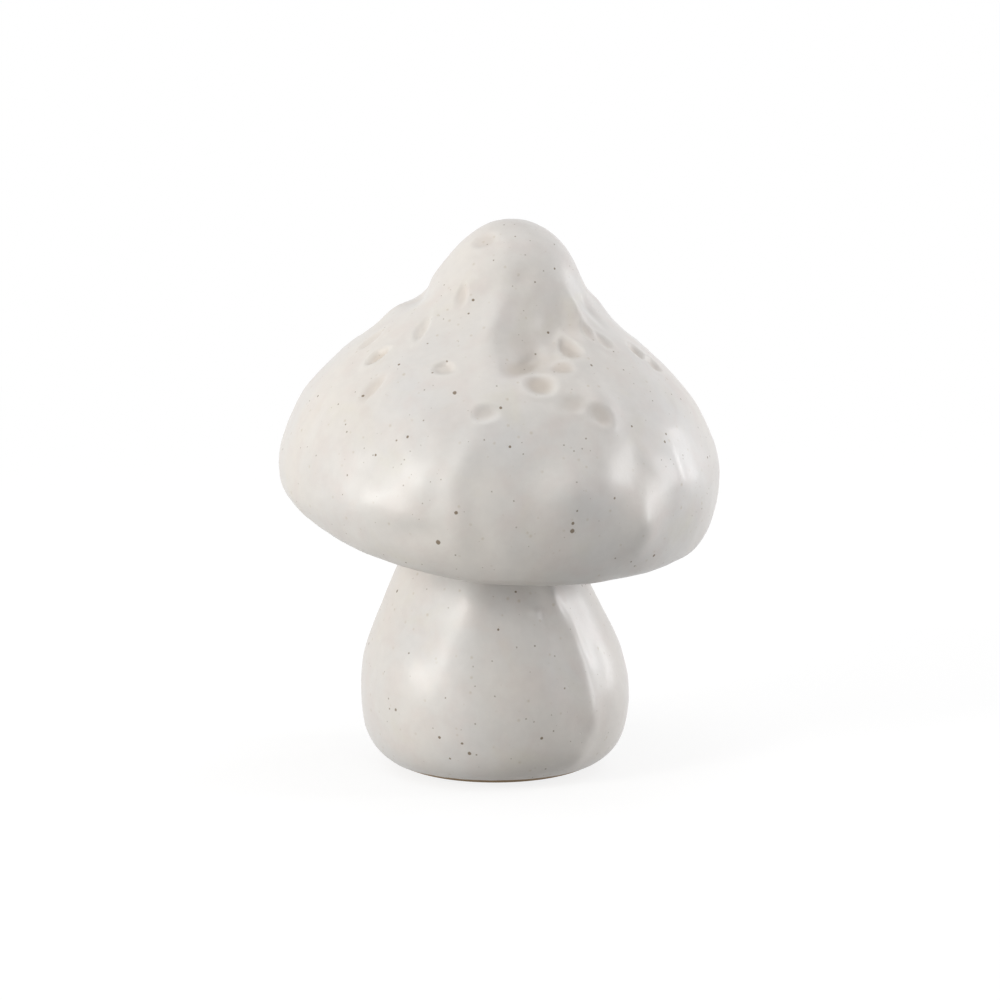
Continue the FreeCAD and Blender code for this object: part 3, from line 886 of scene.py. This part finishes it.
@dataclass
class Casting:
    """A hollow slip casting: turned, then marked by hand and glazed.

    Outward is 1 where the outline runs down the outside and -1 where it runs
    up. Around is the number of faces round the form, per_span the number of
    samples between two control points, and inside every inner_step-th sample
    is kept. Rises are the sizes of the hand-smoothed unevenness. Of the values
    that points carry, share is the place along the outline, and inside is 0 on
    the glazed outside and 1 elsewhere. Lengths are in millimetres.
    """

    name: str
    outward: float
    around: int
    per_span: int
    inner_step: int
    flecks: tuple[Fleck, ...]
    rises: tuple[tuple[float, float], ...]
    wall: float
    foot_height: float = 1.0
    outline: np.ndarray = field(init=False)

    def turned(self) -> tuple[np.ndarray, Values]:
        """Draw the section: its profile in metres and its points' values."""
        raise NotImplementedError

    def modelled(self, points: np.ndarray, values: Values) -> Moved:
        """Move points of the turned casting, in millimetres, as the hands did."""
        raise NotImplementedError

    def bare(self, points: np.ndarray, values: Values) -> np.ndarray:
        """How bare of glaze each turned point is, from 0 to 1."""
        return values["inside"]

    def pressed(self, points: np.ndarray, marks: Sequence[Mark], firmness: Firmness) -> Moved:
        """What marks on the outline do to points, as press gives it."""
        return press(points, [site_on(self.outline, m, self.outward) for m in marks], firmness)

    def inner_wall(self) -> np.ndarray:
        """Samples of the inner wall, in millimetres, against the outline's run."""
        shifted = self.outline - outline_normals(self.outline, self.outward) * self.wall
        return shifted[::-self.inner_step]

    def build(self) -> bpy.types.Object:
        """Spin, model and store the casting.

        Returns:
            The casting, closed, with its wall.
        """
        profile, layers = self.turned()
        piece = as_object(spun(profile, layers, self.around), self.name)
        mesh = piece.data
        points = points_of(mesh)
        values = {name: values_of(mesh, name) for name in layers}
        out, pool_and_shade, raised = self.modelled(points, values)
        move_points(mesh, out)
        # The pools' mask, for pooled glaze and painted shade.
        keep_values(mesh, "pool_and_shade", pool_and_shade)
        # The lips' mask, for a paler glaze break and a painted highlight.
        keep_values(mesh, "raised", raised)
        keep_values(mesh, "bare", self.bare(points, values))
        return piece

    def fleck_places(self) -> Places:
        """Follow the flecks from the turned casting to the modelled one.

        Returns:
            The flecks' places on the finished casting.
        """
        places = []
        for fleck in self.flecks:
            mark = Mark(fleck.azimuth, fleck.share, 1.0, 1.0, 0.0)
            centre = site_on(self.outline, mark, self.outward).centre[None, :]
            none = np.zeros(1)
            values = {"share": np.array([fleck.share]), "inside": none, "bored": none}
            out, _, _ = self.modelled(centre, values)
            places.append((Vector(out[0] * MM), fleck.radius))
        return places


@dataclass
class CapCasting(Casting):
    """The hollow cap: a peaked, leaning bell, marked by hand.

    The outline's shares are of the cap's radius and of its top above the
    foot. The seat's share is of that top, its edge is in seat radii, and the
    rim's wave is in rim lifts. Other sizes are in millimetres.
    """

    name: str = "cap_casting"
    outward: float = 1.0
    around: int = 336
    per_span: int = 20
    inner_step: int = 9
    flecks: tuple[Fleck, ...] = CAP_FLECKS
    rises: tuple[tuple[float, float], ...] = ((11.0, 0.30), (5.0, 0.11))
    radius: float = 55.0
    top: float = 137.6
    seat_share: float = 0.436
    seat_radius: float = 22.0
    seat_edge: float = 1.227
    hole_radius: float = 16.9
    hole_offset: float = -2.03
    wall: float = 4.5
    belly_height: float = 85.0
    rim_lift: float = 6.0
    rim_start: float = 80.0
    rim_fade: float = 22.0
    rim_wave: tuple[float, ...] = (0.273, -0.993, 0.263, 0.288, -0.183)
    tip_lean: float = 4.35
    tip_lean_start: float = 104.0
    tip_lean_run: float = 32.0
    tip_sway: float = 0.64
    tip_sway_run: float = 20.0
    outline_shares: tuple[tuple[float, float], ...] = (
        (0.0, 1.0), (0.093, 1.0), (0.265, 0.958), (0.365, 0.866), (0.545, 0.807),
        (0.702, 0.760), (0.853, 0.701), (0.947, 0.637), (1.015, 0.555),
        (0.998, 0.477), (0.887, 0.408), (0.675, 0.408))

    def turned(self) -> tuple[np.ndarray, Values]:
        """Draw the casting's section: outside, seat hole and inside wall.

        Returns:
            The profile in metres, from the axis round the clay and back to
            it, and the values its points carry. Bored is 1 on the rings of
            the seat's hole.
        """
        seat = self.seat_share * self.top
        poles = [(r * self.radius, z * self.top) for r, z in self.outline_shares]
        poles += [(self.seat_edge * self.seat_radius, seat), (self.seat_radius, seat)]
        self.outline = clay_outline(poles, self.per_span)
        inner = self.inner_wall()
        inner = inner[inner[:, 0] > 0.5]
        hole = np.array([(self.hole_radius, seat), (self.hole_radius, seat + self.wall)])
        tip = np.array([(0.0, self.top - self.wall)])
        profile = np.vstack((self.outline, hole, inner, tip))
        skin, rest = len(self.outline), len(profile) - len(self.outline)
        share = np.concatenate((np.linspace(0.0, 1.0, skin), np.full(rest, 0.5)))
        inside = np.concatenate((np.zeros(skin), np.ones(rest)))
        bored = np.zeros(len(profile))
        for values in (share, bored):
            values[skin:skin + len(hole)] = 1.0
        return profile * MM, {"share": share, "inside": inside, "bored": bored}

    def modelled(self, points: np.ndarray, values: Values) -> Moved:
        """Press the marks, raise the low edge and lean the tip.

        Args:
            points: Points of the turned casting, in millimetres.
            values: What the points carry.

        Returns:
            The modelled points, with their pools, which carry painted shade, and
            their lips, which carry a painted highlight.
        """
        share, outside = values["share"], values["inside"] < 0.5
        # The marks fade out at the tip's pole and at the seat.
        hold = ease(share / 0.04) * ease((1.0 - share) / 0.12)
        broad, pool_and_shade, _ = self.pressed(points, CAP_SWELLS, Firmness.PALM)
        fine, deep, raised = self.pressed(points, CAP_DENTS, Firmness.TOOL)
        out = points + broad * hold[:, None] + fine * (hold * outside)[:, None]
        radius = np.hypot(points[:, 0], points[:, 1])
        azimuth = np.arctan2(points[:, 1], points[:, 0])
        level, cosine, sine, cosine_two, sine_two = self.rim_wave
        wave = level + cosine * np.cos(azimuth) + sine * np.sin(azimuth)
        wave += cosine_two * np.cos(2 * azimuth) + sine_two * np.sin(2 * azimuth)
        low = ease((self.rim_start - points[:, 2]) / self.rim_fade)
        past_seat = ease((radius - self.seat_radius) / (0.4 * self.radius))
        out[:, 2] += self.rim_lift * wave * low * past_seat
        out[:, 0] += self.tip_lean * ease((points[:, 2] - self.tip_lean_start) / self.tip_lean_run)
        out[:, 0] -= self.tip_sway * ease((points[:, 2] - self.rim_start) / self.tip_sway_run)
        out[:, 0] += self.hole_offset * values["bored"]
        away = points - np.array([0.0, 0.0, self.belly_height])
        away /= np.linalg.norm(away, axis=1, keepdims=True)
        out += away * (unevenness(points, self.rises) * hold * outside)[:, None]
        out[:, 2] += self.foot_height
        return out, np.maximum(pool_and_shade, deep) * outside, raised * outside

    def dress(self, piece: bpy.types.Object, glaze: SpeckledGlaze) -> None:
        """Glaze the casting and put it in its node's place.

        Args:
            piece: The casting.
            glaze: The glaze that it is dipped in.
        """
        coat = glaze.material("speckled_satin_glaze_cap", self.fleck_places())
        piece.data.materials.append(coat)
        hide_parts("cap_shell")
        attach(piece, "root")
        log.info("cap casting: %d faces", len(piece.data.polygons))


@dataclass
class StemCasting(Casting):
    """The hollow stem: a bulb that narrows to a shoulder and a neck.

    The outline's shares are of the stem's radius and of its shoulder above
    the foot; other sizes are in millimetres. The edge sizes are the cuts at
    the corners of the neck, the vent, the recess and the foot ring.
    """

    name: str = "stem_casting"
    outward: float = -1.0
    around: int = 288
    per_span: int = 16
    inner_step: int = 8
    flecks: tuple[Fleck, ...] = STEM_FLECKS
    rises: tuple[tuple[float, float], ...] = ((12.0, 0.25), (5.0, 0.08))
    radius: float = 34.3
    shoulder: float = 59.0
    wall: float = 4.8
    neck_radius: float = 16.4
    neck_bore: float = 12.0
    neck_top: float = 66.5
    neck_edge: float = 0.5
    vent_radius: float = 4.0
    vent_edge: float = 0.4
    recess_radius: float = 12.5
    recess_depth: float = 1.4
    recess_edge: float = 0.6
    foot_edge: float = 0.3
    foot_offset: float = -0.48
    lean: float = 1.55
    lean_start: float = 15.0
    lean_run: float = 38.0
    glaze_step: float = 0.25
    step_top: float = 1.7
    step_run: float = 0.5
    wiped_top: float = 2.4
    wiped_run: float = 1.4
    outline_shares: tuple[tuple[float, float], ...] = (
        (0.466, 0.0), (0.650, 0.0), (0.695, 0.0), (0.845, 0.046), (0.962, 0.134),
        (1.0, 0.322), (0.948, 0.497), (0.819, 0.668), (0.694, 0.825),
        (0.600, 0.931), (0.560, 1.0), (0.466, 1.0))

    def turned(self) -> tuple[np.ndarray, Values]:
        """Draw the casting's section, once round its wall.

        Returns:
            The closed profile in metres, and the values its points carry.
        """
        poles = [(r * self.radius, z * self.shoulder) for r, z in self.outline_shares]
        self.outline = clay_outline(poles, self.per_span)
        inner = self.inner_wall()
        inner = inner[inner[:, 0] > self.neck_bore + 0.3]
        neck = np.array([
            (self.neck_radius, self.shoulder),
            (self.neck_radius, self.neck_top - self.neck_edge),
            (self.neck_radius - self.neck_edge, self.neck_top),
            (self.neck_bore + self.neck_edge, self.neck_top),
            (self.neck_bore, self.neck_top - self.neck_edge),
            (self.neck_bore, self.shoulder - self.wall)])
        foot = np.array([
            (self.vent_radius, self.wall),
            (self.vent_radius, self.recess_depth + self.vent_edge),
            (self.vent_radius + self.vent_edge, self.recess_depth),
            (self.recess_radius - self.recess_edge, self.recess_depth),
            (self.recess_radius, self.recess_depth - self.recess_edge),
            (self.recess_radius, self.foot_edge),
            (self.recess_radius + self.foot_edge, 0.0)])
        # The outline stops where the neck begins, on its upper half.
        kept = self.outline[:, 0] > self.neck_radius + 0.05
        kept[: len(kept) // 2] = True
        skin = self.outline[kept]
        profile = np.vstack((skin, neck, inner, foot, skin[:1]))
        rest = len(profile) - len(skin)
        share = np.linspace(0.0, 1.0, len(self.outline))[kept]
        share = np.concatenate((share, np.full(rest, 0.5)))
        share[-1] = 0.0
        inside = np.concatenate((np.zeros(len(skin)), np.ones(rest)))
        return profile * MM, {"share": share, "inside": inside}

    def modelled(self, points: np.ndarray, values: Values) -> Moved:
        """Press the broad marks, step the glaze back and lean the neck.

        Args:
            points: Points of the turned casting, in millimetres.
            values: What the points carry.

        Returns:
            The modelled points, and zeros, as the stem has no pools or lips.
        """
        share, outside = values["share"], values["inside"] < 0.5
        # The marks fade out above the foot ring and at the shoulder.
        hold = ease((share - 0.1) / 0.2) * ease((1.0 - share) / 0.12) * outside
        broad, _, _ = self.pressed(points, STEM_SWELLS, Firmness.PALM)
        out = points + broad * hold[:, None]
        flat = points * np.array([1.0, 1.0, 0.0])
        flat /= np.maximum(np.linalg.norm(flat, axis=1, keepdims=True), 1e-6)
        out += flat * (unevenness(points, self.rises) * hold)[:, None]
        below = ease((self.step_top - points[:, 2]) / self.step_run)
        out -= flat * (self.glaze_step * below * (share > 0.05) * outside)[:, None]
        lean = self.lean * ease((points[:, 2] - self.lean_start) / self.lean_run)
        out[:, 0] += self.foot_offset - lean
        out[:, 2] += self.foot_height
        none = np.zeros(len(points))
        return out, none, none

    def bare(self, points: np.ndarray, values: Values) -> np.ndarray:
        """How bare of glaze each turned point is, from 0 to 1."""
        return np.maximum(
            values["inside"], ease((self.wiped_top - points[:, 2]) / self.wiped_run))

    def dress(self, piece: bpy.types.Object, glaze: SpeckledGlaze) -> None:
        """Glaze the casting and put it in its node's place.

        Args:
            piece: The casting.
            glaze: The glaze that it is dipped in.
        """
        coat = glaze.material("speckled_satin_glaze_stem", self.fleck_places())
        piece.data.materials.append(coat)
        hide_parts("stem_shell")
        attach(piece, "root")
        log.info("stem casting: %d faces", len(piece.data.polygons))


@dataclass
class SlipRing:
    """The slip between the castings: sleeve, bed and wiped bead.

    Inner, hole, bed and bead are radii, and low, seat and top are heights, in
    millimetres.
    """

    inner: float = 16.4
    hole: float = 16.9
    bed: float = 19.2
    low: float = 60.0
    seat: float = 61.0
    top: float = 65.5
    bead: float = 0.5
    offset: float = -2.03
    rises: tuple[tuple[float, float], ...] = ((7.0, 0.18),)
    around: int = 144

    def build(self) -> bpy.types.Object:
        """Spin the ring's section and make its bead uneven.

        Returns:
            The ring.
        """
        middle = (self.low + self.seat) / 2
        bead = [(self.bed + self.bead * math.sin(a), middle - self.bead * math.cos(a))
                for a in np.linspace(0.0, math.pi, 9)]
        section = [(self.inner, self.low), *bead, (self.hole, self.seat), (self.hole, self.top),
                   (self.inner, self.top), (self.inner, self.low)]
        profile = np.array(section) * MM
        piece = as_object(spun(profile, {}, self.around), "slip_ring")
        points = points_of(piece.data)
        radius = np.hypot(points[:, 0], points[:, 1])
        swell = unevenness(points, self.rises) * ease((radius - self.bed) / self.bead)
        points[:, :2] *= (1.0 + swell / radius)[:, None]
        points[:, 0] += self.offset
        move_points(piece.data, points)
        return piece

    def dress(self, piece: bpy.types.Object, slip: LutingSlip) -> None:
        """Give the ring its clay and put it in its node's place.

        Args:
            piece: The ring.
            slip: The slip that it is made of.
        """
        piece.data.materials.append(slip.material("buff_luting_slip"))
        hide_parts("luting_slip")
        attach(piece, "root")
        log.info("slip ring: %d faces", len(piece.data.polygons))


@dataclass
class FeltPad:
    """One felt disc under the foot ring, as thick and wide as its node.

    Edge is the rounding of its rims, and ruffle the width and depth of the
    dips in its side, in millimetres.
    """

    number: int
    edge: float = 0.22
    ruffle: tuple[float, float] = (0.7, 0.06)

    def build(self) -> bpy.types.Object:
        """Cut the disc, soften its edges and ruffle its rim.

        Returns:
            The pad.
        """
        low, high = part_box(f"foot_pad_{self.number}")
        low, high = Vector(low), Vector(high)
        middle = (low + high) / 2
        bm = bmesh.new()
        radius = (high.x - low.x) / 2
        bmesh.ops.create_cone(
            bm, cap_ends=True, segments=56, radius1=radius, radius2=radius,
            depth=high.z - low.z, matrix=Matrix.Translation(middle))
        rims = [edge for edge in bm.edges if len({round(v.co.z, 5) for v in edge.verts}) == 1
                and len(edge.link_faces) == 2]
        bmesh.ops.bevel(
            bm, geom=rims, offset=self.edge * MM, offset_type="OFFSET", affect="EDGES",
            segments=3, profile=0.5, material=-1, clamp_overlap=True)
        bmesh.ops.recalc_face_normals(bm, faces=bm.faces[:])
        width, depth = self.ruffle
        for vert in bm.verts:
            away = Vector((vert.co.x - middle.x, vert.co.y - middle.y, 0.0))
            if away.length > 2 * MM:
                dip = noise.noise(vert.co / (width * MM)) * depth * MM
                vert.co -= away.normalized() * abs(dip)
        return as_object(bm, f"felt_pad_{self.number}")

    def dress(self, piece: bpy.types.Object, felt: bpy.types.Material) -> None:
        """Cover the pad in felt and put it in its node's place.

        Args:
            piece: The pad.
            felt: The felt's material.
        """
        piece.data.materials.append(felt)
        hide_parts(f"foot_pad_{self.number}")
        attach(piece, "root")
        log.info("felt pad %d: %d faces", self.number, len(piece.data.polygons))


@dataclass(frozen=True)
class Softbox:
    """A rectangular studio lamp. Places and sizes are in metres."""

    name: str
    place: tuple[float, float, float]
    width: float
    height: float
    power: float
    tint: str = "#ffffff"

    def hang(self, aim: Vector) -> None:
        """Hang the lamp and turn it to the object.

        Args:
            aim: The point it lights.
        """
        lamp = bpy.data.lights.new(self.name, "AREA")
        lamp.shape = "RECTANGLE"
        lamp.size = self.width
        lamp.size_y = self.height
        lamp.energy = self.power
        lamp.color = colour(self.tint)[:3]
        holder = bpy.data.objects.new(self.name, lamp)
        holder.location = self.place
        holder.rotation_euler = (aim - Vector(self.place)).to_track_quat("-Z", "Y").to_euler()
        bpy.context.scene.collection.objects.link(holder)


def shows_white(tree: Tree) -> Socket:
    """Tell the rays that see the white background from those that are lit by it.

    Args:
        tree: The node tree of the floor or the world.

    Returns:
        A socket that is 1 for rays of the camera, of gloss and of glass.
    """
    rays = add(tree, "ShaderNodeLightPath")
    seen = rays.outputs["Is Camera Ray"]
    for kind in ("Is Glossy Ray", "Is Transmission Ray"):
        seen = add(tree, "ShaderNodeMath", {0: seen, 1: rays.outputs[kind]},
                   operation="MAXIMUM").outputs[0]
    return seen


@dataclass
class Studio:
    """Pale floor, soft lamps and the camera, at the photograph's angle.

    Places and lengths are in metres and the elevation in degrees. The shadow
    on the floor fades out between shadow_start and shadow_end from the object.
    """

    aim: tuple[float, float, float] = (0.00075, 0.0, 0.068)
    elevation: float = 11.0
    distance: float = 1.1
    view_width: float = 0.25
    sensor: float = 36.0
    ambient: float = 0.355
    paper: str = "#b0b0ae"
    floor_half: float = 6.0
    shadow_start: float = 0.15
    shadow_end: float = 0.6
    lamps: tuple[Softbox, ...] = (
        Softbox("left_softbox", (-1.80, -0.88, 0.30), 1.0, 0.6, 18.0, "#fffdf9"),
        Softbox("left_high_softbox", (-1.49, -1.34, 0.95), 0.5, 0.6, 12.5, "#fffdf9"),
        Softbox("right_softbox", (2.00, 0.0, 0.42), 0.5, 0.85, 14.0, "#fdfdff"),
        Softbox("right_rim_softbox", (1.77, 0.94, 0.34), 0.35, 0.8, 9.0, "#fdfdff"),
        Softbox("top_softbox", (0.0, 0.0, 1.30), 0.9, 0.9, 3.8),
    )

    def floor(self) -> None:
        """Lay a plain floor that looks white and keeps the shadow."""
        bm = bmesh.new()
        bmesh.ops.create_grid(bm, x_segments=1, y_segments=1, size=self.floor_half)
        piece = as_object(bm, "studio_floor")
        material = blank_material("white_paper_floor")
        tree = material.node_tree
        paper = add(tree, "ShaderNodeBsdfDiffuse", {"Color": colour(self.paper)})
        # Near the object the floor glows a little and takes the shadow.
        lit = add(tree, "ShaderNodeBsdfDiffuse", {"Color": (0.25, 0.25, 0.25, 1.0)})
        glow = add(tree, "ShaderNodeEmission", {"Color": WHITE, "Strength": 0.82})
        near = add(tree, "ShaderNodeAddShader", {0: lit.outputs[0], 1: glow.outputs[0]})
        far = add(tree, "ShaderNodeEmission", {"Color": WHITE, "Strength": 1.0})
        place = add(tree, "ShaderNodeTexCoord").outputs["Object"]
        reach = add(tree, "ShaderNodeVectorMath", {0: place}, operation="LENGTH")
        fade = add(tree, "ShaderNodeMapRange", {
            "Value": reach.outputs["Value"], "From Min": self.shadow_start,
            "From Max": self.shadow_end}, interpolation_type="SMOOTHSTEP")
        white = add(tree, "ShaderNodeMixShader", {
            0: fade.outputs["Result"], 1: near.outputs[0], 2: far.outputs[0]})
        surface = add(tree, "ShaderNodeMixShader", {
            0: shows_white(tree), 1: paper.outputs[0], 2: white.outputs[0]})
        add(tree, "ShaderNodeOutputMaterial", {"Surface": surface.outputs[0]})
        piece.data.materials.append(material)

    def world(self) -> None:
        """Surround the set with white that lights it only softly."""
        world = bpy.data.worlds.new("studio_white")
        world.use_nodes = True
        tree = world.node_tree
        tree.nodes.clear()
        strength = add(tree, "ShaderNodeMapRange", {
            "Value": shows_white(tree), "To Min": self.ambient, "To Max": 1.0})
        sky = add(tree, "ShaderNodeBackground", {
            "Color": WHITE, "Strength": strength.outputs["Result"]})
        add(tree, "ShaderNodeOutputWorld", {"Surface": sky.outputs[0]})
        bpy.context.scene.world = world

    def camera(self) -> None:
        """Set the camera at the photograph's angle and framing."""
        lens = bpy.data.cameras.new("studio_camera")
        lens.sensor_width = self.sensor
        lens.lens = self.sensor * self.distance / self.view_width
        lens.clip_start = 0.05
        lens.clip_end = 20.0
        tilt = math.radians(self.elevation)
        aim = Vector(self.aim)
        holder = bpy.data.objects.new("studio_camera", lens)
        holder.location = aim + Vector((0.0, -math.cos(tilt), math.sin(tilt))) * self.distance
        holder.rotation_euler = (math.pi / 2 - tilt, 0.0, 0.0)
        bpy.context.scene.collection.objects.link(holder)
        bpy.context.scene.camera = holder

    def build(self) -> None:
        """Lay the floor, hang the lamps and set the camera."""
        self.floor()
        self.world()
        for lamp in self.lamps:
            lamp.hang(Vector(self.aim))
        self.camera()
        bpy.context.scene.view_settings.view_transform = "Standard"
        log.info("studio: %d lamps", len(self.lamps))


def main() -> None:
    """Build the ornament's pieces in order, then the studio around them."""
    logging.basicConfig(level=logging.INFO, format="%(name)s: %(message)s")
    glaze = SpeckledGlaze()
    cap = CapCasting()
    cap.dress(cap.build(), glaze)
    stem = StemCasting()
    stem.dress(stem.build(), glaze)
    ring = SlipRing()
    ring.dress(ring.build(), LutingSlip())
    felt = WoolFelt().material("pressed_wool_felt")
    for number in (1, 2, 3):
        pad = FeltPad(number)
        pad.dress(pad.build(), felt)
    Studio().build()


if __name__ == "__main__":
    main()
